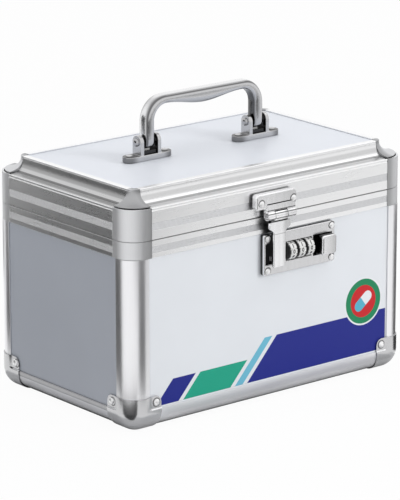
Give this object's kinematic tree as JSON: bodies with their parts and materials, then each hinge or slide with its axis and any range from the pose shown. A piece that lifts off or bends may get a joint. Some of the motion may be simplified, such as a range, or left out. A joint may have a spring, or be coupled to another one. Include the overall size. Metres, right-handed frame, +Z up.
{
  "type": "medication lock box",
  "caption": "Aluminium-framed medicine case with a hinged lid, a folding carry handle, sheet corner caps and a combination hasp lock.",
  "frame": {"origin": "on the ground, at the centre of the whole object's outline, lock and rear hinges included", "axes": "+X to the right along the case's length, +Y from the lock side to the hinge side, +Z up"},
  "size_m": [0.2518, 0.1686, 0.2115],
  "materials": {
    "white_board": "thin board with a satin white laminate",
    "side_board": "thin board with a satin pale grey laminate",
    "top_board": "thin board with a satin bluish white laminate",
    "frame_aluminium": "satin anodised extrusion",
    "ribbed_aluminium": "satin anodised extrusion with a fine ribbed stripe",
    "corner_casting": "satin grey casting",
    "cap_chrome": "plated sheet, slightly satin",
    "lock_chrome": "bright plated zinc",
    "handle_nickel": "bright nickel plated zinc",
    "hinge_steel": "plain plated steel",
    "dial_face": "pale satin plastic with printed numbers"
  },
  "bodies": {
    "case": {"front_panel": "white_board", "right_panel": "side_board", "back_panel": "white_board", "left_panel": "side_board", "bottom_panel": "side_board", "corner_post_front_left": "frame_aluminium", "corner_post_front_right": "frame_aluminium", "corner_post_back_right": "frame_aluminium", "corner_post_back_left": "frame_aluminium", "front_bottom_rail": "frame_aluminium", "right_bottom_rail": "frame_aluminium", "back_bottom_rail": "frame_aluminium", "left_bottom_rail": "frame_aluminium", "front_rim_rail": "ribbed_aluminium", "right_rim_rail": "ribbed_aluminium", "back_rim_rail": "ribbed_aluminium", "left_rim_rail": "ribbed_aluminium", "rim_corner_front_left": "corner_casting", "rim_corner_front_right": "corner_casting", "rim_corner_back_right": "corner_casting", "rim_corner_back_left": "corner_casting", "corner_cap_front_left": "cap_chrome", "corner_cap_front_right": "cap_chrome", "corner_cap_back_right": "cap_chrome", "corner_cap_back_left": "cap_chrome", "lower_hinge_leaf_left": "hinge_steel", "lower_hinge_leaf_right": "hinge_steel", "hinge_pin_left": "hinge_steel", "hinge_pin_right": "hinge_steel", "lock_plate": "lock_chrome", "lock_cover": "hinge_steel", "dial_shaft": "hinge_steel"},
    "lid": {"front_lid_rail": "ribbed_aluminium", "right_lid_rail": "ribbed_aluminium", "back_lid_rail": "ribbed_aluminium", "left_lid_rail": "ribbed_aluminium", "lid_corner_front_left": "corner_casting", "lid_corner_front_right": "corner_casting", "lid_corner_back_right": "corner_casting", "lid_corner_back_left": "corner_casting", "cove_corner_front_left": "corner_casting", "cove_corner_front_right": "corner_casting", "cove_corner_back_right": "corner_casting", "cove_corner_back_left": "corner_casting", "top_panel": "top_board", "upper_hinge_leaf_left": "hinge_steel", "upper_hinge_leaf_right": "hinge_steel", "handle_bracket_left": "handle_nickel", "handle_bracket_right": "handle_nickel", "handle_pin_left": "handle_nickel", "handle_pin_right": "handle_nickel", "hasp_plate": "lock_chrome", "hasp_pin": "hinge_steel"},
    "handle": {"handle": "handle_nickel"},
    "hasp": {"hasp_arm": "lock_chrome"},
    "bolt": {"slide_bolt": "lock_chrome"},
    "dial_1": {"dial_1": "dial_face"},
    "dial_2": {"dial_2": "dial_face"},
    "dial_3": {"dial_3": "dial_face"}
  },
  "joints": [
    {"name": "lid_hinge", "type": "hinge", "parent": "case", "child": "lid", "pos_m": [0, 0.0817, 0.13475], "axis": [-1, 0, 0], "range_deg": [0, 100]},
    {"name": "handle_pivot", "type": "hinge", "parent": "lid", "child": "handle", "pos_m": [0, 0.00165, 0.18], "axis": [1, 0, 0], "range_deg": [-100, 100]},
    {"name": "hasp_hinge", "type": "hinge", "parent": "lid", "child": "hasp", "pos_m": [0.0012, -0.0811, 0.136], "axis": [-1, 0, 0], "range_deg": [0, 120]},
    {"name": "bolt_slide", "type": "slide", "parent": "case", "child": "bolt", "axis": [-1, 0, 0], "range_m": [0, 0.0038]},
    {"name": "dial_1_turn", "type": "hinge", "parent": "case", "child": "dial_1", "pos_m": [0.01345, -0.0765, 0.1072], "axis": [1, 0, 0], "continuous": true},
    {"name": "dial_2_turn", "type": "hinge", "parent": "case", "child": "dial_2", "pos_m": [0.0215, -0.0765, 0.1072], "axis": [1, 0, 0], "continuous": true},
    {"name": "dial_3_turn", "type": "hinge", "parent": "case", "child": "dial_3", "pos_m": [0.02955, -0.0765, 0.1072], "axis": [1, 0, 0], "continuous": true}
  ]
}
